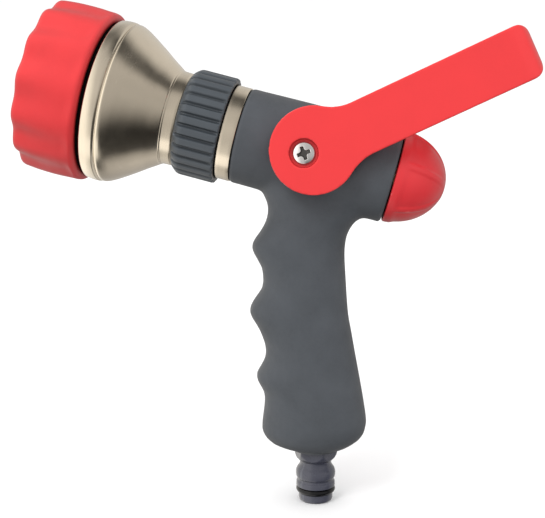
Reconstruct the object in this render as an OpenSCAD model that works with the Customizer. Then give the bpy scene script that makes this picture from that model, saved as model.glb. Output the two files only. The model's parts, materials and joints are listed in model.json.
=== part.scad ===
// Garden-hose spray gun in the fireman style: pistol grip, lever bail, twist head and flow knob.
// The hose connector stands on the Z axis with its tip at the origin. The barrel leans back by
// barrel_tilt and sprays towards -X. Stations along the barrel are measured forward (towards the
// spray) from the point where its axis crosses the Z axis.

/* [Barrel] */
// Angle of the barrel above the horizontal, nose up
barrel_tilt = 15; // [10:1:20]
// Height of the barrel axis above the connector tip, on the Z axis
axis_height = 149.3; // [147.3:0.5:151.3]
// Radius of the soft cover at both ends of the barrel
cover_r = 20; // [19.8:0.1:20.2]
// Extra radius of the soft cover around the valve
cover_swell = 0.3; // [0.1:0.1:0.6]
// Station of the front face of the body
body_front = 32.4; // [32:0.2:33]
// Station of the rear face of the body
body_rear = -33; // [-34:0.5:-33]
// Station of the lever's pivot
pivot_station = 3.5; // [3:0.5:4]

/* [Grip] */
// Height of the underside of the grip
grip_floor = 23.3; // [22.8:0.1:23.3]
// Squareness of the grip's cross-section, 2 is an ellipse
grip_power = 2.3; // [2:0.1:3]

/* [Head] */
// Outer radius of the rubber bumper over its lobes
bumper_r = 36.2; // [35.6:0.2:36.6]
// Depth of the hollows between the bumper's lobes
lobe_depth = 0.9; // [0.4:0.1:1.2]
// Number of lobes around the bumper
lobe_count = 14; // [8:1:16]
// Outer radius of the twist collar over its ribs
collar_r = 22.4; // [22:0.1:22.8]
// Number of ribs around the twist collar
rib_count = 30; // [20:1:32]
// Largest radius of the metal bell
bell_r = 34; // [33.8:0.1:34.4]

/* [Lever] */
// Angle of the lever above the horizontal at rest
lever_angle = 24.5; // [18:0.5:30]
// Distance from the pivot to the outer face of the crossbar
lever_reach = 96.6; // [90:0.5:102]
// Thickness of each arm of the lever
arm_wall = 4.6; // [4:0.1:5]
// Thickness of the crossbar
crossbar_wall = 6; // [5:0.5:8]

/* [Connector] */
// Radius of the connector's nose ahead of its O-ring
nose_r = 7.4; // [7:0.1:7.5]
// Radius of the water passage
passage_r = 4.5; // [4:0.1:4.6]

/* [Hidden] */
$fn = 96;
eps = 0.01;
cut = 1;

// radial play of a turning or sliding fit
run_gap = 0.06;

// body core
core_r = 17;
stem_r = 10.5;
chamber_r = 13;
chamber_front = 14.5;
tube_r = 10;
boss_front_r = 18.2;
boss_r = 9;
boss_y = 21.4;
port_station = -9;
port_r = 5;
socket_r = 7.5;
socket_top = 37.3;

// valve
ball_r = 9;
ball_bore_r = 5;
seat_gap = 0.15;
seat_front = 12.5;
spindle_r = 4.5;
spindle_y = 21.8;
tang_w = 5;
slot_floor = 6.6;
flange_y = 10.2;
drive_w = 6;
drive_y = 24;
spindle_ring_y = 18;
spindle_ring_thick_r = 0.65;

// lever
arm_y = 22.4;
lever_y = arm_y + arm_wall;
hub_r = 17.4;
hub_u = 3.8;
hub_w = -0.6;
arm_top = 10.1;
arm_bottom = -11.3;
top_blend_r = 18;
bottom_blend_r = 20;
end_top_r = 5.5;
end_bottom_r = 5.5;
corner_r = 8;
recess_r = 5.7;
recess_depth = 2;
screw_r = 2.2;
screw_head_r = 4.2;
screw_head_h = 2.4;
screw_tip_y = 14;

// head
thread_r = 11;
tube_bore_r = 7;
tube_front = 66;
sleeve_r = 19.9;
sleeve_wall = 1.5;
sleeve_front = 38.4;
sleeve_web = 2;
collar_rear = 38.7;
collar_front = 57.1;
collar_bore_r = 20;
skirt_r = 18.5;
skirt_rear = 49.7;
skirt_wall = 1.5;
nut_rear = 50;
nut_front = 60;
seal_station = 57;
seal_thick_r = 1.2;
neck_r = 19.7;
neck_front = 62.2;
cone_step = 64.4;
band_rear = 85.2;
band_front = 91.6;
spigot_r = 32;
spigot_front = 97;
bell_wall = 1.5;
bumper_rear = 93.6;
bumper_step = 99;
bumper_front = 119.4;
mouth_r = 29.5;
throat_r = 9.2;
throat_rear = 69.5;
throat_front = 73;
cone_mouth_r = 28;
cone_wall = 2;
pin_head_r = 8.2;

// rear knob
knob_front = -33.4;
knob_rear = -55;
knob_r = 19.4;
knob_wall = 2.2;
knob_panels = 6;
knob_stem_r = 3.5;
knob_boss_r = 7;
web_rear = -22.4;
web_front = -20.8;
flow_front = -3.5;

// connector
connector_ring_z = 5.1;
connector_ring_thick_r = 1.3;
connector_ring_r = 8.5;
waist_r = 6.8;
hex_r = 9.6;
hex_turn = -8;
waist_top = 17.7;
boss_top = 35.3;

// outline of the grip in the XZ plane: height, then distance from the Z axis
front_line = [
    [23.3, -9], [24.5, -14.5], [26.3, -19.1], [29.3, -22.1], [32.3, -23.2], [37.3, -22.8],
    [45.3, -21.9], [49.3, -22.6], [53.3, -24.9], [56.3, -25.3], [59.3, -23.6], [63.3, -21.7],
    [66.3, -21.3], [69.3, -21.7], [75.3, -23.9], [78.3, -25.6], [81.3, -27.5], [84.3, -28.1],
    [87.3, -26.9], [90.3, -24.9], [93.3, -22.9], [96.3, -22.3], [99.3, -22.4], [102.3, -22.9],
    [105.3, -24.5], [108.3, -26.2], [111.3, -27], [114.3, -25.8], [117.3, -23.6], [121.3, -21.3],
    [125.3, -20.2], [129.3, -20.3], [133.3, -22.1], [141.3, -24]];
back_line = [
    [23.3, 9.5], [24.5, 13.4], [27.3, 17.9], [29.3, 20], [31.3, 21], [34.3, 21.8], [37.3, 21.7],
    [45.3, 20.5], [53.3, 19.1], [66.3, 16.7], [75.3, 15.1], [81.3, 14], [87.3, 13.4],
    [96.3, 12.8], [108.3, 12.2], [114.3, 12.8], [117.3, 13.8], [121.3, 16.3], [124.3, 20],
    [141.3, 20]];
side_line = [
    [23.3, 9.5], [25.3, 12.5], [28.3, 15], [33.3, 17], [41.3, 17.6], [61.3, 17], [86.3, 16.2],
    [106.3, 15.6], [121.3, 16], [131.3, 16.6], [141.3, 16]];
grip_heights = [
    23.3, 24, 24.8, 26.3, 28.3, 30.3, 32.3, 35.3, 38.3, 41.8, 45.3, 47.3, 49.3, 51.3, 53.3, 54.8,
    56.3, 57.8, 59.3, 61.3, 63.3, 66.3, 69.3, 72.3, 75.3, 78.3, 79.8, 81.3, 82.8, 84.3, 85.8,
    87.3, 88.8, 90.3, 91.8, 93.3, 96.3, 99.3, 102.3, 105.3, 108.3, 109.8, 111.3, 112.8, 114.3,
    115.8, 117.3, 119.3, 121.3, 123.3, 125.3, 127.3, 129.3, 131.3, 133.3, 137.3, 141.3];
ring_sides = 40;

red = [0.86, 0.17, 0.16];
soft_grey = [0.28, 0.30, 0.32];
slate = [0.22, 0.23, 0.28];
nickel = [0.68, 0.62, 0.54];
brass = [0.78, 0.62, 0.32];
steel = [0.75, 0.75, 0.76];
white_plastic = [0.9, 0.9, 0.87];
black_rubber = [0.06, 0.06, 0.06];

// ---- helpers ----

// puts a shape on the barrel: its Z runs forward along the barrel, its X points up
module on_barrel() {
    translate([0, 0, axis_height]) rotate([0, barrel_tilt - 90, 0]) children();
}

// puts a shape on the pivot: its Z runs along the pivot towards +Y
module on_pivot() {
    on_barrel() translate([0, 0, pivot_station]) rotate([-90, 0, 0]) children();
}

module tube(outer, inner, from, to) {
    translate([0, 0, from]) difference() {
        cylinder(r = outer, h = to - from);
        translate([0, 0, -cut]) cylinder(r = inner, h = to - from + 2 * cut);
    }
}

module rod(radius, from, to) {
    translate([0, 0, from]) cylinder(r = radius, h = to - from);
}

module ring(major, minor, station) {
    translate([0, 0, station]) rotate_extrude() translate([major, 0]) circle(r = minor, $fn = 32);
}

// slope of a control list at point i, for smooth_value
function slope_at(list, i) =
    let (a = list[max(i - 1, 0)], b = list[min(i + 1, len(list) - 1)]) (b[1] - a[1]) / (b[0] - a[0]);

// smooth curve through a list of [position, value] pairs
function smooth_value(list, t) =
    let (
        i = max([for (k = [0 : len(list) - 2]) if (list[k][0] <= t) k]),
        step = list[i + 1][0] - list[i][0],
        s = (t - list[i][0]) / step,
        rise = list[i + 1][1] - list[i][1],
        m0 = slope_at(list, i) * step,
        m1 = slope_at(list, i + 1) * step
    )
    list[i][1] + s * (m0 + s * (3 * rise - 2 * m0 - m1 + s * (m0 + m1 - 2 * rise)));

function power_point(angle) = [
    sign(cos(angle)) * pow(abs(cos(angle)), 2 / grip_power),
    sign(sin(angle)) * pow(abs(sin(angle)), 2 / grip_power)];

// one horizontal section of the grip
function grip_ring(z) =
    let (
        front = smooth_value(front_line, z),
        back = smooth_value(back_line, z),
        side = smooth_value(side_line, z)
    )
    [for (k = [0 : ring_sides - 1])
        let (p = power_point(k * 360 / ring_sides))
        [(front + back) / 2 + p[0] * (back - front) / 2, p[1] * side, z]];

// points of an arc from angle a to angle b
function arc(centre, radius, a, b, steps) =
    [for (k = [0 : steps]) let (t = a + (b - a) * k / steps) centre + radius * [cos(t), sin(t)]];

// ---- body ----

module core_outside() {
    on_barrel() rod(core_r, body_rear + 2, body_front);
    on_barrel() rod(boss_front_r, body_front - eps, sleeve_front - sleeve_web);
    rod(stem_r, grip_floor, axis_height);
    on_pivot() rod(boss_r, -boss_y, boss_y);
}

module body_core() {
    color(soft_grey) difference() {
        core_outside();
        on_barrel() rod(chamber_r, body_rear, chamber_front);
        on_barrel() rod(tube_r, chamber_front - cut, sleeve_front);
        on_barrel() translate([0, 0, port_station]) rotate([0, -90, 0]) cylinder(r = port_r, h = 27);
        on_pivot() rod(spindle_r + run_gap, -boss_y - cut, boss_y + cut);
        rod(port_r, grip_floor + cut, axis_height - 23);
        rod(socket_r, grip_floor - cut, socket_top);
    }
}

module grip_loft() {
    rings = [for (z = grip_heights) grip_ring(z)];
    last = len(rings) - 1;
    points = [for (r = rings) for (p = r) p];
    sides = [for (j = [0 : last - 1]) for (k = [0 : ring_sides - 1])
        let (
            a = j * ring_sides + k,
            b = j * ring_sides + (k + 1) % ring_sides
        )
        each [[a, a + ring_sides, b], [b, a + ring_sides, b + ring_sides]]];
    floor_face = [for (k = [0 : ring_sides - 1]) k];
    roof_face = [for (k = [ring_sides - 1 : -1 : 0]) last * ring_sides + k];
    polyhedron(points, concat(sides, [floor_face, roof_face]));
}

module cover_shell() {
    steps = 12;
    length = body_front - body_rear;
    edge = 0.8;
    skin = [for (k = [0 : steps])
        let (s = k / steps)
        [cover_r + cover_swell * sin(180 * s), body_rear + edge + (length - 2 * edge) * s]];
    rotate_extrude() polygon(concat(
        [[core_r / 2, body_front], [core_r / 2, body_rear], [cover_r - edge, body_rear]],
        skin,
        [[cover_r - edge, body_front]]));
}

module grip_overmould() {
    color(soft_grey) difference() {
        union() {
            grip_loft();
            on_barrel() cover_shell();
        }
        on_barrel() rod(core_r, body_rear - cut, body_front + cut);
        rod(stem_r, grip_floor - cut, axis_height);
        on_pivot() rod(boss_r, -boss_y - cut, boss_y + cut);
    }
}

// ---- hose connector ----

module quick_connector() {
    chamfer = 0.6;
    groove_half = connector_ring_thick_r + 0.1;
    groove_r = connector_ring_r - 2 * connector_ring_thick_r;
    color(slate) difference() {
        union() {
            rotate_extrude() polygon([
                [0, 0], [nose_r - chamfer, 0], [nose_r, chamfer],
                [nose_r, connector_ring_z - groove_half],
                [groove_r, connector_ring_z - groove_half],
                [groove_r, connector_ring_z + groove_half],
                [8.4, connector_ring_z + groove_half], [8.3, 8.4], [7.8, 9.2], [7.8, 9.9],
                [8.4, 11], [8.6, 12.4], [8.4, 13.9], [7.3, 15.4], [waist_r, 16.2],
                [waist_r, 18.2], [socket_r, 19], [socket_r, boss_top], [0, boss_top]]);
            intersection() {
                translate([0, 0, waist_top]) rotate(hex_turn)
                    cylinder(r = hex_r, h = grip_floor - waist_top, $fn = 6);
                rotate_extrude() polygon([
                    [0, waist_top], [waist_r, waist_top], [8.7, 19.6], [hex_r, 21.6], [hex_r, grip_floor],
                    [0, grip_floor]]);
            }
        }
        rod(passage_r, -cut, boss_top + cut);
    }
}

module connector_oring() {
    color(black_rubber)
        ring(connector_ring_r - connector_ring_thick_r, connector_ring_thick_r, connector_ring_z);
}

module connector_washer() {
    color(black_rubber) tube(socket_r, passage_r, boss_top, socket_top);
}

module inlet_strainer() {
    basket_r = 3.8;
    basket_wall = 0.7;
    basket_top = 13;
    slot_w = 0.9;
    slot_h = 2.4;
    rows = 3;
    slots = 6;
    color(white_plastic) difference() {
        union() {
            rod(passage_r, 1, 2);
            rod(basket_r, 1, basket_top);
        }
        rod(basket_r - basket_wall, 0, basket_top - basket_wall);
        for (row = [0 : rows - 1], k = [0 : slots - 1]) rotate(k * 360 / slots)
            translate([basket_r - 2 * basket_wall, -slot_w / 2, 3 + (slot_h + 0.6) * row])
                cube([3 * basket_wall, slot_w, slot_h]);
    }
}

// ---- fixed barrel ----

module barrel_tube() {
    shank_front = 44;
    color(brass) on_barrel() difference() {
        union() {
            rod(tube_r, seat_front, shank_front);
            rod(thread_r, shank_front, tube_front);
        }
        rod(tube_bore_r, seat_front - cut, tube_front + cut);
    }
}

module barrel_sleeve() {
    color(nickel) on_barrel() {
        tube(sleeve_r, tube_r, sleeve_front - sleeve_web, sleeve_front);
        tube(sleeve_r, sleeve_r - sleeve_wall, body_front, sleeve_front - sleeve_web + eps);
    }
}

module sleeve_nut() {
    nut_corner_r = 14.5;
    nut_h = 4;
    color(steel) on_barrel() difference() {
        translate([0, 0, sleeve_front]) cylinder(r = nut_corner_r, h = nut_h, $fn = 6);
        rod(tube_r, sleeve_front - cut, sleeve_front + nut_h + cut);
    }
}

module seat_ring() {
    seat_bore_r = 6.2;
    seat_rear = 8.6;
    color(white_plastic) on_barrel() difference() {
        tube(tube_r, seat_bore_r, seat_rear, seat_front);
        translate([0, 0, pivot_station]) sphere(r = ball_r + seat_gap);
    }
}

module spray_pin() {
    hub_rear = 54;
    hub_front = 60;
    hub_radius = 3;
    rib_w = 1.6;
    pin_r = 2.2;
    head_rear = 69.6;
    head_front = 75;
    rim = 1.2;
    color(brass) on_barrel() {
        intersection() {
            for (k = [0 : 2]) rotate(k * 120) translate([0, -rib_w / 2, hub_rear])
                cube([tube_bore_r + cut, rib_w, hub_front - hub_rear]);
            rod(tube_bore_r, hub_rear, hub_front);
        }
        rod(hub_radius, hub_rear, hub_front);
        rod(pin_r, hub_front - eps, head_rear + rim);
        translate([0, 0, head_rear])
            cylinder(r1 = pin_r, r2 = pin_head_r, h = head_front - head_rear - rim);
        rod(pin_head_r, head_front - rim, head_front);
    }
}

module rear_gland() {
    color(slate) on_barrel() difference() {
        union() {
            rod(core_r, body_rear, body_rear + 2);
            rod(chamber_r, body_rear + 2, -23);
        }
        rod(knob_stem_r + run_gap, body_rear - cut, -22);
        tube(chamber_r + cut, 11.4, -28.4, -26.2);
        tube(5.3, 1, -30.2, -27.8);
    }
}

module gland_oring() {
    color(black_rubber) on_barrel() ring(12.2, 0.8, -27.3);
}

// ---- twist head ----

module bumper_ring() {
    round_r = 6.5;
    rear_round = 1.8;
    scoop_r = 60;
    scoop_lean = 2.4;
    arc_steps = 8;
    outline = concat(
        [[spigot_r, bumper_rear]],
        arc([bumper_r - rear_round, bumper_rear + rear_round], rear_round, -90, 0, 4),
        arc([bumper_r - round_r, bumper_front - round_r], round_r, 0, 90, arc_steps),
        arc([mouth_r + 1.5, bumper_front - 1.5], 1.5, 90, 180, 4),
        [[mouth_r, bumper_step], [spigot_r, bumper_step]]);
    color(red) on_barrel() difference() {
        rotate_extrude() polygon(outline);
        for (k = [0 : lobe_count - 1]) rotate(k * 360 / lobe_count)
            translate([bumper_r + scoop_r - lobe_depth / 2, 0, bumper_rear + 3])
                rotate([0, -scoop_lean, 0]) cylinder(r = scoop_r, h = bumper_front);
    }
}

module bell() {
    cone_steps = 9;
    cone_rear = neck_front + 0.4;
    cone_front = band_rear - 0.2;
    flare_line = [
        [cone_rear - 0.1, 20.4], [65, 21.9], [70, 25.3], [75, 28.7], [79, 31.2], [82, 32.9],
        [cone_front + 0.1, 33.7]];
    flare = [for (k = [0 : cone_steps])
        let (station = cone_rear + (cone_front - cone_rear) * k / cone_steps)
        [smooth_value(flare_line, station), station]];
    outside = concat(
        [[skirt_r, skirt_rear], [skirt_r, collar_front], [neck_r, collar_front],
            [neck_r + 0.2, neck_front], [neck_r + 0.4, neck_front + 0.2]],
        flare,
        [[bell_r - 0.5, band_rear], [bell_r - 0.1, band_rear + 0.7], [bell_r, band_rear + 2.4],
            [bell_r, band_front - 1.2], [bell_r - 0.5, band_front - 0.3], [bell_r - 1.2, band_front],
            [spigot_r, band_front], [spigot_r, spigot_front]]);
    inside = concat(
        [[spigot_r - bell_wall, spigot_front], [spigot_r - bell_wall, band_rear + 1.5]],
        [for (k = [cone_steps : -1 : 1]) flare[k] - [bell_wall + 0.3, 0]],
        [[skirt_r - skirt_wall, cone_step], [skirt_r - skirt_wall, skirt_rear]]);
    color(nickel) on_barrel() rotate_extrude() polygon(concat(outside, inside));
}

module front_cone() {
    vanes = 12;
    vane_w = 1.2;
    rim_rear = 94;
    rear_bore_r = 11.6;
    rear_r = skirt_r - skirt_wall;
    rim_r = spigot_r - bell_wall;
    color(soft_grey) on_barrel() {
        rotate_extrude() polygon([
            [rear_bore_r, nut_front], [rear_r, nut_front], [rear_r, cone_step],
            [throat_r + cone_wall + 2, throat_rear + 1], [throat_r + cone_wall + 1, throat_front],
            [cone_mouth_r - 1, rim_rear], [rim_r, rim_rear], [rim_r, spigot_front],
            [cone_mouth_r + 0.8, spigot_front], [throat_r, throat_front],
            [throat_r, throat_rear], [rear_bore_r, throat_rear - 1]]);
        difference() {
            for (k = [0 : vanes - 1]) rotate(k * 360 / vanes)
                translate([throat_r + 4, -vane_w / 2, throat_front])
                    cube([cone_mouth_r - throat_r - 5, vane_w, spigot_front - throat_front - 1]);
            translate([0, 0, throat_front + 2.5]) cylinder(r1 = throat_r + 1.8,
                r2 = cone_mouth_r + 2.2, h = spigot_front - throat_front);
            difference() {
                rod(bell_r, throat_front - cut, spigot_front);
                translate([0, 0, throat_front]) cylinder(r1 = throat_r + 1,
                    r2 = cone_mouth_r + 1.4, h = spigot_front - throat_front + eps);
            }
        }
    }
}

module grip_collar() {
    rib_r = 1.5;
    chamfer = 1.6;
    color(soft_grey) on_barrel() difference() {
        intersection() {
            union() {
                rod(collar_r - 0.8, collar_rear, collar_front);
                for (k = [0 : rib_count - 1]) rotate(k * 360 / rib_count)
                    translate([collar_r - rib_r, 0, collar_rear])
                        cylinder(r = rib_r, h = collar_front - collar_rear, $fn = 24);
            }
            rotate_extrude() polygon([
                [0, collar_rear], [collar_r - 0.9, collar_rear], [collar_r, collar_rear + 0.9],
                [collar_r, collar_front - chamfer], [collar_r - chamfer, collar_front],
                [0, collar_front]]);
        }
        rod(collar_bore_r, collar_rear - cut, skirt_rear);
        rod(skirt_r, collar_rear, collar_front + cut);
    }
}

module head_nut() {
    groove_r = 13.5;
    color(white_plastic) on_barrel() difference() {
        tube(skirt_r - skirt_wall, thread_r + run_gap, nut_rear, nut_front);
        rod(groove_r, seal_station - seal_thick_r - 0.1, seal_station + seal_thick_r + 0.1);
    }
}

module head_seal() {
    color(black_rubber) on_barrel() ring(thread_r + 0.05 + seal_thick_r, seal_thick_r, seal_station);
}

// ---- lever and valve ----

// side outline of the lever, with the arm along +X and the pivot at the origin
function lever_outline() =
    let (
        hub = [hub_u, hub_w],
        top_y = arm_top + top_blend_r,
        top_x = hub_u + sqrt(pow(hub_r + top_blend_r, 2) - pow(top_y - hub_w, 2)),
        bottom_y = arm_bottom - bottom_blend_r,
        bottom_x = hub_u + sqrt(pow(hub_r + bottom_blend_r, 2) - pow(bottom_y - hub_w, 2)),
        top_angle = atan2(top_y - hub_w, top_x - hub_u),
        bottom_angle = atan2(bottom_y - hub_w, bottom_x - hub_u)
    )
    concat(
        arc(hub, hub_r, top_angle, 360 + bottom_angle, 40),
        arc([bottom_x, bottom_y], bottom_blend_r, 180 + bottom_angle, 90, 8),
        arc([lever_reach - end_bottom_r, arm_bottom + end_bottom_r], end_bottom_r, -90, 0, 5),
        arc([lever_reach - end_top_r, arm_top - end_top_r], end_top_r, 0, 90, 8),
        arc([top_x, top_y], top_blend_r, 270, 180 + top_angle, 8));

// puts a shape on the lever: its X runs along the arm, its Y up and its Z towards -Y
module on_lever() {
    on_barrel() translate([0, 0, pivot_station]) rotate([0, 90 - barrel_tilt, 0])
        rotate([90, 0, 0]) rotate(lever_angle) children();
}

module crossbar_corner() {
    reach = lever_reach - corner_r;
    difference() {
        translate([reach, -40, lever_y - corner_r]) cube([corner_r + cut, 80, corner_r + cut]);
        translate([reach, 0, lever_y - corner_r]) rotate([90, 0, 0])
            cylinder(r = corner_r, h = 100, center = true);
    }
}

module bail_lever() {
    color(red) on_lever() difference() {
        translate([0, 0, -lever_y]) linear_extrude(2 * lever_y) polygon(lever_outline());
        translate([-40, -40, -arm_y]) cube([40 + lever_reach - crossbar_wall, 80, 2 * arm_y]);
        for (side = [0, 1]) mirror([0, 0, side]) {
            crossbar_corner();
            rod(screw_r + 0.1, arm_y - cut, lever_y + cut);
            rod(recess_r, lever_y - recess_depth, lever_y + cut);
            translate([-drive_w / 2, -drive_w / 2, arm_y - cut])
                cube([drive_w, drive_w, drive_y - arm_y + cut]);
        }
    }
}

module valve_ball() {
    color(steel) on_barrel() translate([0, 0, pivot_station]) difference() {
        sphere(r = ball_r);
        rod(ball_bore_r, -ball_r - cut, ball_r + cut);
        for (side = [-1, 1]) translate([0, side * (slot_floor + ball_r / 2), 0])
            cube([tang_w, ball_r, 3 * ball_r], center = true);
    }
}

// one spindle, drawn along +Z from the ball to the arm
module spindle() {
    tang_gap = 0.1;
    tang_half = 4;
    groove = spindle_ring_thick_r + 0.1;
    groove_r = spindle_r - 2 * spindle_ring_thick_r;
    color(steel) difference() {
        union() {
            translate([-tang_w / 2 + tang_gap, -tang_half, slot_floor + tang_gap])
                cube([tang_w - 2 * tang_gap, 2 * tang_half, flange_y - slot_floor]);
            rod(spindle_r + 1, flange_y, flange_y + 1.2);
            rod(spindle_r, flange_y, spindle_y);
            rotate(lever_angle + barrel_tilt) translate([-drive_w / 2, -drive_w / 2, spindle_y - eps])
                cube([drive_w, drive_w, drive_y - spindle_y + eps]);
        }
        tube(spindle_r + cut, groove_r, spindle_ring_y - groove, spindle_ring_y + groove);
        rod(screw_r, screw_tip_y, drive_y + cut);
    }
}

module spindle_ring() {
    color(black_rubber)
        ring(spindle_r - spindle_ring_thick_r + 0.02, spindle_ring_thick_r, spindle_ring_y);
}

module pivot_washer() {
    color(white_plastic) tube(8, spindle_r + 0.1, boss_y + 0.1, arm_y - 0.05);
}

module bail_screw() {
    head_base = lever_y - recess_depth;
    cross_w = 1.1;
    cross_l = 4.6;
    cross_depth = 1.5;
    color(steel) difference() {
        union() {
            rod(screw_r, screw_tip_y + 0.5, head_base);
            intersection() {
                rod(screw_head_r, head_base, head_base + screw_head_h);
                translate([0, 0, head_base - 3.2]) sphere(r = 5.6);
            }
        }
        for (turn = [20, 110]) rotate(turn)
            translate([-cross_l / 2, -cross_w / 2, head_base + screw_head_h - cross_depth])
                cube([cross_l, cross_w, 2 * cross_depth]);
    }
}

// left is the side of -Y, right the side of +Y
module left_side() {
    on_barrel() translate([0, 0, pivot_station]) rotate([90, 0, 0]) children();
}

module right_side() {
    mirror([0, 1, 0]) left_side() children();
}

// ---- flow knob ----

module rear_knob() {
    dome_steps = 14;
    length = knob_front - knob_rear;
    dome = [for (k = [0 : dome_steps])
        let (t = 90 * k / dome_steps)
        [knob_r * cos(t), knob_front - length * sin(t)]];
    hollow = [for (k = [dome_steps : -1 : 0])
        let (t = 90 * k / dome_steps)
        [(knob_r - knob_wall) * cos(t), knob_front - (length - knob_wall) * sin(t)]];
    scoop_r = 22;
    scoop_depth = 0.7;
    scoop_lean = 36;
    dome_at_scoop = 20.6;
    color(red) on_barrel() difference() {
        union() {
            rotate_extrude() polygon(concat(dome, hollow));
            rod(knob_boss_r, knob_rear + 1.5, knob_front - 0.4);
        }
        rod(knob_stem_r, -46, knob_front + cut);
        for (k = [0 : knob_panels - 1]) rotate((k + 0.5) * 360 / knob_panels)
            translate([0, 0, knob_front]) rotate([0, scoop_lean + 90, 0])
                translate([0, 0, dome_at_scoop + scoop_r - scoop_depth]) sphere(r = scoop_r);
    }
}

module knob_stem() {
    tip_r = 3;
    color(brass) on_barrel() difference() {
        union() {
            rod(knob_stem_r, -46, web_rear - 0.1);
            rod(tip_r, web_rear - 0.1 - eps, -19.4);
        }
        tube(tip_r + cut, tip_r - 0.5, web_front, web_front + 0.8);
    }
}

module stem_oring() {
    color(black_rubber) on_barrel() ring(knob_stem_r + 0.85, 0.82, -29);
}

module flow_sleeve() {
    outer = chamber_r - 0.08;
    inner = 11;
    window_r = 5.2;
    color(white_plastic) on_barrel() difference() {
        rod(outer, web_rear, flow_front);
        rod(inner, web_front, flow_front + cut);
        rod(3, web_rear - cut, web_front + cut);
        translate([0, 0, port_station]) rotate([0, -90, 0]) cylinder(r = window_r, h = 2 * outer);
    }
}

module stem_clip() {
    color(steel) on_barrel() difference() {
        tube(5, 2.5, web_front, web_front + 0.7);
        translate([-1.6, 0, web_front - cut]) cube([3.2, 6, 3]);
    }
}

body_core();
grip_overmould();
quick_connector();
connector_oring();
connector_washer();
inlet_strainer();
barrel_tube();
barrel_sleeve();
sleeve_nut();
seat_ring();
spray_pin();
rear_gland();
gland_oring();
bumper_ring();
bell();
front_cone();
grip_collar();
head_nut();
head_seal();
bail_lever();
valve_ball();
left_side() spindle();  // spindle_left
right_side() spindle();  // spindle_right
left_side() spindle_ring();  // spindle_oring_left
right_side() spindle_ring();  // spindle_oring_right
left_side() pivot_washer();  // pivot_washer_left
right_side() pivot_washer();  // pivot_washer_right
left_side() bail_screw();  // bail_screw_left
right_side() bail_screw();  // bail_screw_right
rear_knob();
knob_stem();
stem_oring();
flow_sleeve();
stem_clip();
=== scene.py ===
import json
import math
import bpy
import bmesh
from mathutils import Matrix, Vector


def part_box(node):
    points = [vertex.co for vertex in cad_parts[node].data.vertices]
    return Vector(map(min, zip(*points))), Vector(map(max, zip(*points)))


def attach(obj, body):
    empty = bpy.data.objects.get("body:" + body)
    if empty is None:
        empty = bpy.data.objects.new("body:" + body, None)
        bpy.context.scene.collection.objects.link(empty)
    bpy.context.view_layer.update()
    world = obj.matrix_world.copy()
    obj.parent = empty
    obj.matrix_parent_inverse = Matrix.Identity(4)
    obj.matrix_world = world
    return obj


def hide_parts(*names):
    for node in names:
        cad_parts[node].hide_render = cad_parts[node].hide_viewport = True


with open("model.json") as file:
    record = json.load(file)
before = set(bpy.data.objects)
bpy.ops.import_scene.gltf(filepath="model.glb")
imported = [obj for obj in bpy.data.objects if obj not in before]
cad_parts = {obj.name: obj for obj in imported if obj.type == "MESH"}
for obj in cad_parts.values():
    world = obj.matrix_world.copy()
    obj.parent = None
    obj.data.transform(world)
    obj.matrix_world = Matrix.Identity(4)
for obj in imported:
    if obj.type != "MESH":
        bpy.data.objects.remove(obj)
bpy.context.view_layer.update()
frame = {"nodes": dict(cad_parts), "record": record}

# ---- the frame of the barrel, from the record's joints ----

MM = 0.001
joints = {j["name"]: j for j in frame["record"]["behaviour"]["joints"]}
FORWARD = Vector(joints["head_travel"]["axis"]).normalized()
SIDE = Vector((0, -1, 0))
UP = SIDE.cross(FORWARD).normalized()
if UP.z < 0:
    UP = -UP
pivot = Vector(joints["bail_pivot"]["pos_m"])
ORIGIN = pivot - FORWARD * (pivot.x / FORWARD.x)


def barrel_point(station, radius, angle):
    """A point by its station along the barrel and radius in mm, and its angle from the top towards -Y."""
    outwards = UP * math.cos(angle) + SIDE * math.sin(angle)
    return ORIGIN + FORWARD * station * MM + outwards * radius * MM


def upright_point(station, radius, angle):
    """The same about the hose connector's vertical axis, with the angle from +X."""
    return Vector((radius * MM * math.cos(angle), radius * MM * math.sin(angle), station * MM))


def node_points(node):
    return [v.co for v in frame["nodes"][node].data.vertices]


def barrel_span(node):
    """Lowest and highest station of a node and its largest radius, in mm."""
    stations, radii = [], []
    for p in node_points(node):
        d = p - ORIGIN
        s = d.dot(FORWARD)
        stations.append(s / MM)
        radii.append((d - FORWARD * s).length / MM)
    return min(stations), max(stations), max(radii)


# ---- mesh helpers ----

def finish_mesh(name, bm, material):
    bmesh.ops.remove_doubles(bm, verts=bm.verts, dist=1e-6)
    bmesh.ops.recalc_face_normals(bm, faces=bm.faces)
    mesh = bpy.data.meshes.new(name)
    bm.to_mesh(mesh)
    bm.free()
    for p in mesh.polygons:
        p.use_smooth = True
    mesh.materials.append(material)
    piece = bpy.data.objects.new(name, mesh)
    bpy.context.scene.collection.objects.link(piece)
    return piece


def rounded(points, steps=5):
    """Rounds the corners of a closed outline. Each point is (station, radius, rounding)."""
    out = []
    n = len(points)
    for i in range(n):
        here = Vector(points[i][:2])
        r = points[i][2] if len(points[i]) > 2 else 0
        if r <= 0:
            out.append(tuple(here))
            continue
        to_a = (Vector(points[i - 1][:2]) - here)
        to_b = (Vector(points[(i + 1) % n][:2]) - here)
        cut = min(r, to_a.length * 0.49, to_b.length * 0.49)
        a = here + to_a.normalized() * cut
        b = here + to_b.normalized() * cut
        for k in range(steps + 1):
            t = k / steps
            out.append(tuple(a * (1 - t) ** 2 + here * 2 * t * (1 - t) + b * t ** 2))
    return out


def split(outline, longest):
    """Adds points so that no edge of a closed outline is longer than longest."""
    out = []
    for i, a in enumerate(outline):
        b = outline[(i + 1) % len(outline)]
        n = max(1, math.ceil(math.dist(a, b) / longest))
        out += [(a[0] + (b[0] - a[0]) * k / n, a[1] + (b[1] - a[1]) * k / n) for k in range(n)]
    return out


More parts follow.
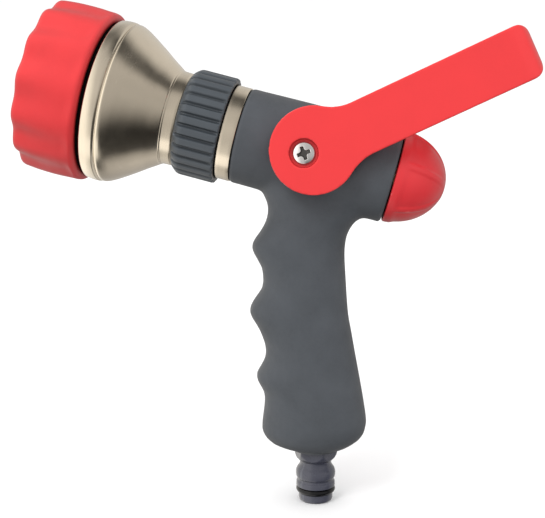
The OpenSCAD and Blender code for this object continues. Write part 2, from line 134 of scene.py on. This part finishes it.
def revolve(name, outline, segments, material, place=barrel_point, shape=None, turn=0.0):
    """Turns a closed outline of (station, radius) about an axis.

    shape(station, radius, angle) gives the radius to use in place of the outline's.
    """
    bm = bmesh.new()
    rows = []
    for k in range(segments):
        angle = turn + 2 * math.pi * k / segments
        row = []
        for station, radius in outline:
            r = shape(station, radius, angle) if shape else radius
            row.append(bm.verts.new(place(station, max(r, 0.0), angle)))
        rows.append(row)
    n = len(outline)
    for k in range(segments):
        a, b = rows[k], rows[(k + 1) % segments]
        for i in range(n):
            j = (i + 1) % n
            if outline[i][1] <= 0 and outline[j][1] <= 0:
                continue
            bm.faces.new([a[i], a[j], b[j], b[i]])
    return finish_mesh(name, bm, material)


def soften(node, name, voxel, passes, material):
    """A new mesh of a node's shape with softly rounded edges, on a grid of voxel mm."""
    source = frame["nodes"][node]
    mesh = source.data.copy()
    mesh.name = name
    piece = bpy.data.objects.new(name, mesh)
    bpy.context.scene.collection.objects.link(piece)
    weld = piece.modifiers.new("weld", "WELD")
    weld.merge_threshold = 1e-6
    remesh = piece.modifiers.new("remesh", "REMESH")
    remesh.mode = "VOXEL"
    remesh.voxel_size = voxel * MM
    smooth = piece.modifiers.new("smooth", "SMOOTH")
    smooth.factor = 0.5
    smooth.iterations = passes
    apply_modifiers(piece)
    piece.data.materials.clear()
    piece.data.materials.append(material)
    for p in piece.data.polygons:
        p.use_smooth = True
        p.material_index = 0
    return piece


def apply_modifiers(piece):
    graph = bpy.context.evaluated_depsgraph_get()
    graph.update()
    mesh = bpy.data.meshes.new_from_object(piece.evaluated_get(graph))
    piece.modifiers.clear()
    piece.data = mesh


def smoothstep(a, b, x):
    t = min(max((x - a) / (b - a), 0.0), 1.0)
    return t * t * (3 - 2 * t)


def full_turn(count):
    """Evenly spaced angles round a full turn."""
    return [2 * math.pi * k / count for k in range(count)]


def from_nearest(angle, pitch, phase):
    """Signed angle to the nearest of the angles phase + k * pitch."""
    return (angle - phase + pitch / 2) % pitch - pitch / 2


# ---- materials ----

class Nodes:
    def __init__(self, name):
        self.material = bpy.data.materials.new(name)
        self.material.use_nodes = True
        self.tree = self.material.node_tree
        self.shader = self.tree.nodes["Principled BSDF"]
        self.coords = self.tree.nodes.new("ShaderNodeTexCoord").outputs["Object"]

    def add(self, kind, **values):
        node = self.tree.nodes.new(kind)
        for key, value in values.items():
            setattr(node, key, value)
        return node

    def link(self, a, b):
        self.tree.links.new(a, b)

    def noise(self, scale, detail=3, roughness=0.55, vector=None):
        node = self.add("ShaderNodeTexNoise")
        node.inputs["Scale"].default_value = scale
        node.inputs["Detail"].default_value = detail
        node.inputs["Roughness"].default_value = roughness
        self.link(vector or self.coords, node.inputs["Vector"])
        return node.outputs["Fac"]

    def spread(self, value, low, high, start=0.3, end=0.7):
        node = self.add("ShaderNodeMapRange")
        for key, number in (("From Min", start), ("From Max", end), ("To Min", low), ("To Max", high)):
            node.inputs[key].default_value = number
        self.link(value, node.inputs["Value"])
        return node.outputs["Result"]

    def mix(self, factor, a, b):
        node = self.add("ShaderNodeMix", data_type="RGBA")
        for socket, value in ((node.inputs[0], factor), (node.inputs[6], a), (node.inputs[7], b)):
            if isinstance(value, (tuple, list)):
                socket.default_value = (*value, 1)
            elif isinstance(value, float):
                socket.default_value = value
            else:
                self.link(value, socket)
        return node.outputs[2]

    def bump(self, height, strength, distance, under=None):
        node = self.add("ShaderNodeBump")
        node.inputs["Strength"].default_value = strength
        node.inputs["Distance"].default_value = distance * MM
        self.link(height, node.inputs["Height"])
        if under:
            self.link(under, node.inputs["Normal"])
        return node.outputs["Normal"]

    def edges(self, start, end):
        """1 on sharp outer edges, 0 elsewhere, for paler edges that are partly wear and partly painted
        highlight.
        """
        point = self.add("ShaderNodeNewGeometry").outputs["Pointiness"]
        return self.spread(point, 0.0, 1.0, start, end)

    def along(self, axis):
        """A coordinate that only changes along an axis, for turned and brushed marks."""
        dot = self.add("ShaderNodeVectorMath", operation="DOT_PRODUCT")
        dot.inputs[1].default_value = tuple(axis)
        self.link(self.coords, dot.inputs[0])
        stretch = self.add("ShaderNodeVectorMath", operation="SCALE")
        stretch.inputs["Scale"].default_value = 0.02
        self.link(self.coords, stretch.inputs[0])
        line = self.add("ShaderNodeCombineXYZ")
        self.link(dot.outputs["Value"], line.inputs["X"])
        both = self.add("ShaderNodeVectorMath", operation="ADD")
        self.link(line.outputs["Vector"], both.inputs[0])
        self.link(stretch.outputs["Vector"], both.inputs[1])
        return both.outputs["Vector"]


def moulded(name, colour, roughness, grain, grain_depth, mottle=0.06, wear_and_highlight=None, specular=0.5,
            edge=(0.53, 0.6), sheen=0.0, coat=0.0, reach=5, painted_shade_factor=0.35):
    """Moulded plastic or rubber: mottled colour, fine grain, uneven gloss, and paler edges that are partly
    wear and partly painted highlight.

    Creases within reach mm of other surfaces, and sides turned away, are darkened by a factor: painted shade.
    """
    m = Nodes(name)
    darker = tuple(c * (1 - mottle) for c in colour)
    paler = tuple(min(1.0, c * (1 + mottle)) for c in colour)
    patches = m.mix(m.spread(m.noise(60, 4), 0.0, 1.0), darker, paler)
    speckle = m.mix(m.spread(m.noise(grain * 0.6, 2), 0.0, 0.35), patches, paler)
    # paler, patchy outer edges: partly wear, partly painted highlight
    if wear_and_highlight:
        edge_wear_and_highlight = m.add("ShaderNodeMath", operation="MULTIPLY")
        m.link(m.edges(*edge), edge_wear_and_highlight.inputs[0])
        m.link(m.spread(m.noise(300, 5), 0.35, 1.0), edge_wear_and_highlight.inputs[1])
        speckle = m.mix(edge_wear_and_highlight.outputs[0], speckle, wear_and_highlight)
    # painted shade: creases within reach mm of other surfaces are darkened towards the shade colour
    hidden = m.add("ShaderNodeAmbientOcclusion", samples=8)
    hidden.inputs["Distance"].default_value = reach * MM
    shade = tuple(c * painted_shade_factor for c in colour)
    open_air = m.spread(hidden.outputs["AO"], 0.0, 1.0, 0.25, 0.85)
    # painted shade: sides turned away are darkened towards the shade colour
    turned_away = m.spread(m.add("ShaderNodeLayerWeight").outputs["Facing"], 0.0, 0.6, 0.3, 0.95)
    m.link(m.mix(turned_away, m.mix(open_air, shade, speckle), shade), m.shader.inputs["Base Color"])
    m.link(m.spread(m.noise(220, 4), roughness - 0.05, roughness + 0.06), m.shader.inputs["Roughness"])
    coarse = m.bump(m.noise(grain * 0.18, 3), 0.15, grain_depth * 2)
    m.link(m.bump(m.noise(grain, 2), 0.45, grain_depth, coarse), m.shader.inputs["Normal"])
    m.shader.inputs["Specular IOR Level"].default_value = specular
    m.shader.inputs["Sheen Weight"].default_value = sheen
    m.shader.inputs["Coat Weight"].default_value = coat
    return m.material


def metal(name, colour, roughness, axis, line_scale, depth, stain):
    """Turned or brushed metal: fine lines round the axis, uneven gloss and faint stains."""
    m = Nodes(name)
    lines = m.noise(line_scale, 2, 0.6, m.along(axis))
    broad = m.noise(45, 4)
    darker = tuple(c * (1 - stain) for c in colour)
    base = m.mix(m.spread(broad, 0.0, 1.0), darker, colour)
    base = m.mix(m.spread(lines, 0.0, 0.3), base, darker)
    m.link(base, m.shader.inputs["Base Color"])
    m.shader.inputs["Metallic"].default_value = 1.0
    mixed = m.add("ShaderNodeMath", operation="ADD")
    m.link(m.spread(lines, -0.03, 0.04), mixed.inputs[0])
    m.link(m.spread(m.noise(120, 4), roughness - 0.03, roughness + 0.05), mixed.inputs[1])
    m.link(mixed.outputs[0], m.shader.inputs["Roughness"])
    dents = m.bump(m.noise(90, 3), 0.08, 0.06)
    m.link(m.bump(lines, 0.3, depth, dents), m.shader.inputs["Normal"])
    return m.material


MATERIALS = {
    "soft_grey_grip": moulded("soft_grey_grip", (0.067, 0.074, 0.084), 0.6, 1500, 0.09, 0.13,
                              wear_and_highlight=(0.10, 0.108, 0.118), specular=0.35, sheen=0.05, edge=(0.51, 0.56)),
    "hard_grey_plastic": moulded("hard_grey_plastic", (0.06, 0.066, 0.074), 0.45, 1800, 0.015),
    "ribbed_grey": moulded("ribbed_grey", (0.062, 0.073, 0.085), 0.42, 2200, 0.015, 0.08,
                           wear_and_highlight=(0.13, 0.145, 0.165), reach=3, painted_shade_factor=0.25),
    "slate_plastic": moulded("slate_plastic", (0.054, 0.056, 0.078), 0.27, 1500, 0.006, 0.05,
                             wear_and_highlight=(0.11, 0.115, 0.14), coat=0.15),
    "black_rubber": moulded("black_rubber", (0.004, 0.004, 0.005), 0.22, 1500, 0.004, 0.2, specular=0.3),
    # black for the bell's spigot faces in the gap behind the bumper: painted shade
    "painted_gap_shade": moulded("painted_gap_shade", (0.006, 0.005, 0.005), 0.7, 1500, 0.01, 0.2, specular=0.1),
    "white_plastic": moulded("white_plastic", (0.72, 0.72, 0.68), 0.4, 1500, 0.01, 0.04),
    "red_rubber": moulded("red_rubber", (0.72, 0.036, 0.040), 0.5, 2000, 0.02, 0.05,
                          wear_and_highlight=(0.80, 0.10, 0.10), specular=0.4, reach=7),
    "red_plastic": moulded("red_plastic", (0.80, 0.036, 0.040), 0.4, 1400, 0.008, 0.03,
                           wear_and_highlight=(0.95, 0.10, 0.09), specular=0.4),
    "red_knob": moulded("red_knob", (0.70, 0.024, 0.032), 0.42, 1800, 0.012, 0.05,
                        wear_and_highlight=(0.86, 0.12, 0.12)),
    "brass": metal("brass", (0.78, 0.58, 0.28), 0.28, FORWARD, 6000, 0.003, 0.12),
    "warm_nickel": metal("warm_nickel", (0.72, 0.635, 0.51), 0.2, FORWARD, 9000, 0.0015, 0.1),
    "steel": metal("steel", (0.66, 0.66, 0.66), 0.25, (0, 1, 0), 7000, 0.003, 0.1),
    "screw_shade": metal("screw_shade", (0.12, 0.115, 0.11), 0.45, (0, 1, 0), 5000, 0.002, 0.05),
    "screw_steel": metal("screw_steel", (0.82, 0.81, 0.80), 0.13, (0, 1, 0), 5000, 0.002, 0.05),
}
slot_of = {s["node"]: s["material_slot"] for s in frame["record"]["subparts"]}
for name, node in frame["nodes"].items():
    node.data.materials.clear()
    node.data.materials.append(MATERIALS[slot_of[name]])


def stands_for(piece, body, *nodes):
    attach(piece, body)
    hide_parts(*nodes)


# ---- camera ----

camera_data = bpy.data.cameras.new("camera")
camera = bpy.data.objects.new("camera", camera_data)
bpy.context.scene.collection.objects.link(camera)
camera.location = (0.0182, -0.3731, 0.1513)
yaw, pitch, roll = 0.09778, -0.12159, -0.00542
camera.rotation_euler = (Matrix.Rotation(yaw, 3, "Z") @ Matrix.Rotation(math.pi / 2 + pitch, 3, "X")
                         @ Matrix.Rotation(roll, 3, "Z")).to_euler()
camera_data.lens = 58.6
camera_data.clip_start = 0.01
bpy.context.scene.camera = camera

# ---- twist head ----

rear, front, bumper_r = barrel_span("bumper_ring")
LOBES = 14
lobe_pitch = 2 * math.pi / LOBES
lobe_phase = math.radians(24.4)
HOLLOW_AT_REAR, HOLLOW_GAIN = 0.8, 1.0
BUMPER_BORE, MOUTH_R = 32.1, 29.4
MOUTH_STEP = 99.1
LIP = 0.6
bumper_r += 0.1


def lobed(station, radius, angle):
    off = from_nearest(angle, lobe_pitch, lobe_phase) / (lobe_pitch / 2)
    hollow = math.cos(off * math.pi / 2) ** 2
    depth = HOLLOW_AT_REAR + HOLLOW_GAIN * smoothstep(rear + 6, front - 1, station)
    outside = smoothstep(31, 34, radius)
    return radius - hollow * depth * outside * smoothstep(rear, rear + 4, station)


outline = split(rounded([
    (rear - LIP, BUMPER_BORE, 0), (rear - LIP, bumper_r - 2.6, 0.8), (rear + 0.7, bumper_r - 0.5, 2.0),
    (rear + 8, bumper_r, 6), (front - 9, bumper_r, 6), (front, bumper_r - 0.9, 7.5), (front, MOUTH_R, 1.6),
    (MOUTH_STEP, MOUTH_R, 0), (MOUTH_STEP, BUMPER_BORE, 0)], 8), 1.6)
bumper = revolve("bumper_skin", outline, 240, MATERIALS["red_rubber"], shape=lobed)
stands_for(bumper, "twist_head", "bumper_ring")

bell_rear, bell_front, bell_r = barrel_span("bell")
BAND_REAR, BAND_FRONT, NECK_FRONT, COLLAR_FRONT = 85.2, 91.6, 62.2, 57.1
flare = [(62.9, 20.5), (65, 21.9), (67.5, 23.5), (70, 25.25), (72.5, 27.0), (75, 28.65), (77, 29.95),
         (79, 31.2), (80.5, 32.1), (82, 32.85), (83.2, 33.35), (84.2, 33.55)]
outline = rounded(
    [(bell_rear, 17.1, 0), (bell_rear, 18.45, 0), (COLLAR_FRONT - 0.5, 18.45, 0),
     (COLLAR_FRONT - 0.5, 19.6, 0), (NECK_FRONT - 0.3, 19.85, 0.3), (NECK_FRONT, 20.15, 0.2),
     (NECK_FRONT + 0.4, 20.15, 0.2)]
    + [(s, r, 1.0) for s, r in flare]
    + [(BAND_REAR, 33.05, 0.3), (BAND_REAR + 0.5, 33.85, 0.5), (BAND_REAR + 3, bell_r, 2.0),
       (BAND_FRONT - 0.4, bell_r - 0.35, 1.1), (BAND_FRONT, bell_r - 1.4, 0.4), (BAND_FRONT, 31.9, 0),
       (bell_front, 31.9, 0), (bell_front, 30.6, 0), (87, 30.6, 0), (84, 31.2, 0), (75, 26.6, 0),
       (66, 20.6, 0), (64, 17.1, 0)], 5)
bell = revolve("bell_skin", split(outline, 2.5), 256, MATERIALS["warm_nickel"])
# the spigot faces in the gap between band and bumper get the black material as painted shade
bell.data.materials.append(MATERIALS["painted_gap_shade"])
for face in bell.data.polygons:
    centre = face.center - ORIGIN
    station = centre.dot(FORWARD) / MM
    radius = (centre - FORWARD * station * MM).length / MM
    if station > BAND_FRONT - 0.05 and radius < 32.6:
        face.material_index = 1
stands_for(bell, "twist_head", "bell")

collar_rear, collar_front, collar_r = barrel_span("grip_collar")
RIBS = 30
rib_pitch = 2 * math.pi / RIBS
rib_phase = math.radians(4)
GROOVE_DEPTH = 1.15
NECK_FIT, SLEEVE_FIT = 18.55, 20.05


def ribbed(station, radius, angle):
    off = abs(from_nearest(angle, rib_pitch, rib_phase)) / (rib_pitch / 2)
    groove = smoothstep(0.5, 0.92, off)
    crown = 0.2 * off ** 2
    ends = smoothstep(collar_rear - 0.4, collar_rear + 1.4, station) * (
        1 - smoothstep(collar_front - 2.0, collar_front + 0.4, station))
    outside = smoothstep(20.4, 21.6, radius)
    return radius - (groove * GROOVE_DEPTH + crown) * outside * (0.35 + 0.65 * ends)


outline = split(rounded([
    (collar_rear, SLEEVE_FIT, 0), (collar_rear, collar_r, 0.9), (collar_front - 2.4, collar_r, 1.5),
    (collar_front, collar_r - 2.2, 0.9), (collar_front, NECK_FIT, 0), (50, NECK_FIT, 0),
    (49.6, SLEEVE_FIT, 0)], 6), 1.2)
collar = revolve("collar_skin", outline, RIBS * 18, MATERIALS["ribbed_grey"], shape=ribbed)
stands_for(collar, "twist_head", "grip_collar")

sleeve_rear, sleeve_front, sleeve_r = barrel_span("barrel_sleeve")
outline = rounded([
    (sleeve_rear, 18.45, 0), (sleeve_rear, sleeve_r, 0.3), (sleeve_front, sleeve_r, 0.35),
    (sleeve_front, 10.05, 0), (sleeve_front - 1.9, 10.05, 0), (sleeve_front - 1.9, 18.45, 0)], 4)
sleeve = revolve("sleeve_skin", split(outline, 1.5), 192, MATERIALS["warm_nickel"])
stands_for(sleeve, "gun_body", "barrel_sleeve")

# ---- rear knob ----

knob_rear, knob_front, knob_r = barrel_span("rear_knob")
PANELS = 6
panel_pitch = 2 * math.pi / PANELS
panel_phase = math.radians(102.5)
knob_length = knob_front - knob_rear
PANEL_DEPTH, WALL = 0.5, 2.2


def panelled(station, radius, angle):
    if radius < 0.5:
        return radius
    depth = (knob_front - station) / knob_length
    side = abs(from_nearest(angle, panel_pitch, panel_phase)) * radius
    edge = panel_pitch / 2 * radius - side
    inside = smoothstep(0.5, 2.2, edge) * smoothstep(3.0, 5.2, knob_front - station)
    inside *= 1 - smoothstep(0.93, 0.98, depth)
    skin = knob_r * math.sqrt(max(0.0, 1 - depth ** 2))
    return radius - PANEL_DEPTH * inside if radius > skin - 0.2 else radius


dome = []
STEPS = 44
for k in range(STEPS + 1):
    t = math.pi / 2 * k / STEPS
    dome.append((knob_front - knob_length * math.sin(t), knob_r * math.cos(t)))
rim = [(knob_front, knob_r - WALL, 0), (knob_front, knob_r - 0.5, 0.3), (knob_front - 0.5, knob_r, 0.3)]
tip = [(knob_rear, 0.0, 0), (knob_rear + WALL, 0.0, 0)]
hollow = [(knob_front - (knob_length - WALL) * math.sin(a), (knob_r - WALL) * math.cos(a), 0)
          for a in (1.4, 1.2, 1.0, 0.8, 0.6, 0.4, 0.2)]
dome = rounded(rim + [(s, r, 0) for s, r in dome[3:-1]] + tip + hollow, 4)
knob = revolve("knob_skin", dome, 360, MATERIALS["red_knob"], shape=panelled)
stands_for(knob, "flow_knob", "rear_knob")

# ---- grip, lever and screws ----

grip = soften("grip_overmould", "grip_skin", 0.6, 9, MATERIALS["soft_grey_grip"])
fillet = grip.vertex_groups.new(name="fillet")
COVER_R = 20.3
cover_rear = barrel_span("rear_gland")[0]
cover_front = barrel_span("barrel_sleeve")[0]
for v in grip.data.vertices:
    from_origin = v.co - ORIGIN
    along_barrel = from_origin.dot(FORWARD)
    radius = (from_origin - FORWARD * along_barrel).length / MM
    station = along_barrel / MM
    weight = 1 - smoothstep(COVER_R + 3.5, COVER_R + 9, radius)
    weight *= smoothstep(cover_rear + 1.5, cover_rear + 5, station)
    weight *= 1 - smoothstep(cover_front - 5, cover_front - 1.5, station)
    if weight > 0.01:
        fillet.add([v.index], weight, "REPLACE")
blend = grip.modifiers.new("blend", "SMOOTH")
blend.factor = 0.5
blend.iterations = 60
blend.vertex_group = "fillet"
apply_modifiers(grip)
stands_for(grip, "gun_body", "grip_overmould")
lever = soften("bail_lever", "lever_skin", 0.5, 5, MATERIALS["red_plastic"])
stands_for(lever, "bail", "bail_lever")
SCREW_R, SHANK_R, SCREW_TURN = 4.2, 2.2, math.radians(20)
RECESS_DEPTH = 2.0
HEAD_DROP = 0.75


def screw_height(x, y):
    """The screw head's height over its rim in mm, and the share of the cross recess, 0 to 1."""
    r = math.hypot(x, y)
    dome = 1.75 * math.sqrt(max(0.0, 1 - (r / (SCREW_R + 0.9)) ** 2))
    u = abs(x * math.cos(SCREW_TURN) + y * math.sin(SCREW_TURN))
    v = abs(y * math.cos(SCREW_TURN) - x * math.sin(SCREW_TURN))
    u, v = max(u, v), min(u, v)
    wide = 0.62 + 0.5 * (1 - smoothstep(0.5, 1.5, u))
    cross = (1 - smoothstep(wide - 0.12, wide + 0.12, v)) * (1 - smoothstep(2.25, 2.75, u))
    return dome - 1.35 * cross * (1 - 0.25 * smoothstep(0.8, 2.5, u)), cross


def pan_head_screw(name, side):
    """A pan head with a cross recess and its shank, on the pivot's axis."""
    low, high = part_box("bail_screw_" + name)
    tip = min(abs(low[1]), abs(high[1])) / MM
    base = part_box("bail_lever")[1][1] / MM - RECESS_DEPTH
    rim = base + 0.55
    bm = bmesh.new()
    n = 144
    radii = [0.15 * k for k in range(1, 28)] + [SCREW_R]
    rows = []
    for r in radii:
        row = []
        for k in range(n):
            a = 2 * math.pi * k / n
            x, y = r * math.cos(a), r * math.sin(a)
            h = screw_height(x, y)[0]
            row.append(bm.verts.new((x, y, rim + h - HEAD_DROP)))
        rows.append(row)
    centre = bm.verts.new((0, 0, rim + screw_height(0, 0)[0] - HEAD_DROP))
    for k in range(n):
        bm.faces.new([centre, rows[0][k], rows[0][(k + 1) % n]])
    under_head = ((SCREW_R + 0.04, rim - 0.1), (SCREW_R, base + 0.1), (SCREW_R - 0.15, base), (SHANK_R, base),
                  (SHANK_R, tip + 0.3), (SHANK_R - 0.3, tip), (0.0001, tip))
    for r, z in under_head:
        rows.append([bm.verts.new((r * math.cos(a), r * math.sin(a), z)) for a in full_turn(n)])
    for a, b in zip(rows, rows[1:]):
        for k in range(n):
            bm.faces.new([a[k], b[k], b[(k + 1) % n], a[(k + 1) % n]])
    frame_x, frame_z = Vector((1, 0, 0)), Vector((0, side, 0))
    frame_y = frame_z.cross(frame_x)
    for v in bm.verts:
        v.co = pivot + (frame_x * v.co.x + frame_y * v.co.y + frame_z * v.co.z) * MM
    screw = finish_mesh("screw_" + name, bm, MATERIALS["screw_steel"])
    screw.data.materials.append(MATERIALS["screw_shade"])
    for face in screw.data.polygons:
        d = face.center - pivot
        x, y, z = d.dot(frame_x) / MM, d.dot(frame_y) / MM, d.dot(frame_z) / MM
        if z > base and math.hypot(x, y) < 3.2 and screw_height(x, y)[1] > 0.55:
            face.material_index = 1
    return screw


for name, side in (("left", -1), ("right", 1)):
    stands_for(pan_head_screw(name, side), "bail", "bail_screw_" + name)

# ---- hose connector ----

low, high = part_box("connector_oring")
ring_z = (low[2] + high[2]) / 2 / MM
ring_half = (high[2] - low[2]) / 2 / MM
ring_r = high[0] / MM
HEX_TURN = math.radians(-8)
HEX_R, WAIST_R, BOSS_R, BORE_R = 9.6, 6.8, 7.45, 4.5
HEX_FLAT = HEX_R * math.cos(math.pi / 6)
HEX_LOW = 17.6
GRIP_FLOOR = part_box("grip_overmould")[0][2] / MM


def hexagon(station, radius, angle):
    if station < HEX_LOW or station > GRIP_FLOOR + 0.05:
        return radius
    off = from_nearest(angle, math.pi / 3, HEX_TURN + math.pi / 6)
    limit = HEX_FLAT / math.cos(off)
    return min(radius, limit - 0.12 * (abs(off) / (math.pi / 6)) ** 8)


groove_r = ring_r - 2 * ring_half
groove_low = ring_z - ring_half - 0.1
groove_high = ring_z + ring_half + 0.1
boss_top = GRIP_FLOOR + 12
outline = split(rounded([
    (0, BORE_R, 0.3), (0, 7.3, 1.6), (groove_low, 7.4, 0.3), (groove_low, groove_r, 0),
    (groove_high, groove_r, 0), (groove_high, 8.4, 0.4), (8.5, 8.35, 0.4),
    (9.1, 7.75, 0.5), (9.9, 7.75, 0.5), (10.7, 8.45, 0.6), (12.4, 8.6, 1.0), (14.0, 8.35, 0.8),
    (15.4, 7.3, 0.7), (16.3, WAIST_R, 0.6), (17.7, WAIST_R, 0.4), (19.5, 8.6, 0.4), (21.4, 9.45, 0.5),
    (GRIP_FLOOR, HEX_R, 0), (GRIP_FLOOR, BOSS_R, 0), (boss_top, BOSS_R, 0), (boss_top, BORE_R, 0)], 5), 0.35)
connector = revolve("connector_skin", outline, 180, MATERIALS["slate_plastic"], upright_point, hexagon,
                    HEX_TURN)
stands_for(connector, "gun_body", "quick_connector")

tube = [(ring_z + ring_half * math.sin(a), ring_r - ring_half + ring_half * math.cos(a))
        for a in full_turn(28)]
oring = revolve("oring_loop", tube, 144, MATERIALS["black_rubber"], upright_point)
stands_for(oring, "gun_body", "connector_oring")

# ---- floor, world and lights ----

bm = bmesh.new()
FLOOR_R, WALL_R, WALL_H, FLOOR_SIDES = 0.9, 1.6, 1.9, 96
profile = [(0.0, 0.0), (0.3, 0.0), (FLOOR_R, 0.0)]
profile += [(FLOOR_R + (WALL_R - FLOOR_R) * math.sin(a), (WALL_R - FLOOR_R) * (1 - math.cos(a)))
            for a in [math.pi / 2 * k / 16 for k in range(1, 17)]]
profile.append((WALL_R, WALL_H))
rings = [[bm.verts.new((r * math.cos(a), r * math.sin(a), z)) for a in full_turn(FLOOR_SIDES)]
         for r, z in profile[1:]]
centre = bm.verts.new((0, 0, 0))
for k in range(FLOOR_SIDES):
    bm.faces.new([centre, rings[0][k], rings[0][(k + 1) % FLOOR_SIDES]])
for a, b in zip(rings, rings[1:]):
    for k in range(FLOOR_SIDES):
        bm.faces.new([a[k], b[k], b[(k + 1) % FLOOR_SIDES], a[(k + 1) % FLOOR_SIDES]])
paint = Nodes("floor_paint")
paint.link(paint.mix(paint.spread(paint.noise(9, 3), 0.0, 1.0), (0.93, 0.93, 0.93), (0.95, 0.95, 0.95)),
           paint.shader.inputs["Base Color"])
paint.shader.inputs["Roughness"].default_value = 0.9
paint.shader.inputs["Specular IOR Level"].default_value = 0.1
floor = finish_mesh("floor", bm, paint.material)
floor.visible_glossy = False
floor.visible_diffuse = False
floor.visible_shadow = False

world = bpy.data.worlds.new("studio")
bpy.context.scene.world = world
world.use_nodes = True
tree = world.node_tree
background = tree.nodes["Background"]
direction = tree.nodes.new("ShaderNodeSeparateXYZ")
tree.links.new(tree.nodes.new("ShaderNodeTexCoord").outputs["Generated"], direction.inputs[0])


def world_math(operation, a, b=None):
    node = tree.nodes.new("ShaderNodeMath")
    node.operation = operation
    for socket, value in zip(node.inputs, (a, b)):
        if isinstance(value, (int, float)):
            socket.default_value = value
        elif value is not None:
            tree.links.new(value, socket)
    return node.outputs[0]


# the angle round the X axis, 0 towards -Y, 0.25 up, 0.5 towards +Y, -0.25 down
towards_front = world_math("MULTIPLY", direction.outputs["Y"], -1.0)
elevation = world_math("ARCTAN2", direction.outputs["Z"], towards_front)
turn = world_math("DIVIDE", elevation, 2 * math.pi)


def light_bands(bands):
    """Light and dark bands of the studio by the angle round the X axis in degrees."""
    ramp = tree.nodes.new("ShaderNodeValToRGB")
    tree.links.new(world_math("ADD", turn, 0.5), ramp.inputs["Fac"])
    stops = ramp.color_ramp.elements
    stops[0].position, stops[1].position = 0.0, 1.0
    while len(stops) < len(bands):
        stops.new(0.5)
    for stop, (degrees, value) in zip(stops, bands):
        stop.position = (degrees + 180) / 360
        stop.color = (value, value * 0.98, value * 0.95, 1)
    return ramp.outputs["Color"]


def blend_colours(factor, a, b):
    node = tree.nodes.new("ShaderNodeMix")
    node.data_type = "RGBA"
    for socket, value in ((node.inputs[0], factor), (node.inputs[6], a), (node.inputs[7], b)):
        if isinstance(value, tuple):
            socket.default_value = (*value, 1)
        else:
            tree.links.new(value, socket)
    return node.outputs[2]


def world_range(value, start, end, low, high):
    node = tree.nodes.new("ShaderNodeMapRange")
    for key, number in (("From Min", start), ("From Max", end), ("To Min", low), ("To Max", high)):
        node.inputs[key].default_value = number
    tree.links.new(value, node.inputs["Value"])
    return node.outputs["Result"]


# what is reflected from the right, as on the bell's flare, from the front, as on the round neck and sleeve,
# and from the left, as on the bell's band
right_bands = light_bands([
    (-180, 0.75), (-120, 0.7), (-104, 0.5), (-92, 0.06), (-58, 0.02), (-46, 0.1), (-32, 0.32), (-18, 0.5),
    (0, 0.58), (25, 0.56), (48, 0.62), (60, 0.5), (70, 0.1), (93, 0.07), (104, 0.4), (118, 0.78), (140, 0.8),
    (180, 0.75)])
front_bands = light_bands([
    (-180, 0.6), (-124, 0.4), (-108, 0.12), (-96, 0.16), (-86, 1.2), (-62, 1.35), (-50, 0.6), (-14, 0.66),
    (10, 0.78), (40, 0.72), (70, 0.62), (88, 0.25), (104, 0.12), (120, 0.4), (140, 0.7), (180, 0.65)])
WINDOW = (1.7, 1.66, 1.58)
to_front = world_range(direction.outputs["X"], 0.12, -0.08, 0.0, 1.0)
to_left = world_range(direction.outputs["X"], -0.25, -0.55, 0.0, 0.85)
glossy_light = blend_colours(to_front, right_bands, front_bands)
glossy_light = blend_colours(to_left, glossy_light, WINDOW)
path = tree.nodes.new("ShaderNodeLightPath")
soft_light = world_range(direction.outputs["Z"], -1.0, 1.0, 0.45, 1.35)
light = blend_colours(path.outputs["Is Glossy Ray"], soft_light, glossy_light)
light = blend_colours(path.outputs["Is Camera Ray"], light, (1.0, 1.0, 1.0))
tree.links.new(light, background.inputs["Color"])


def area_light(name, place, target, size, power):
    data = bpy.data.lights.new(name, "AREA")
    data.shape = "DISK"
    data.size = size
    data.energy = power
    lamp = bpy.data.objects.new(name, data)
    bpy.context.scene.collection.objects.link(lamp)
    lamp.location = place
    lamp.rotation_euler = (Vector(target) - Vector(place)).to_track_quat("-Z", "Y").to_euler()
    lamp.visible_glossy = False
    return lamp


middle = Vector((0, 0, 0.11))
area_light("key", (-0.5, -0.9, 1.0), middle, 0.5, 6)
area_light("fill", (0.8, -0.8, 0.2), middle, 0.8, 1)
bpy.context.scene.view_settings.view_transform = "Standard"
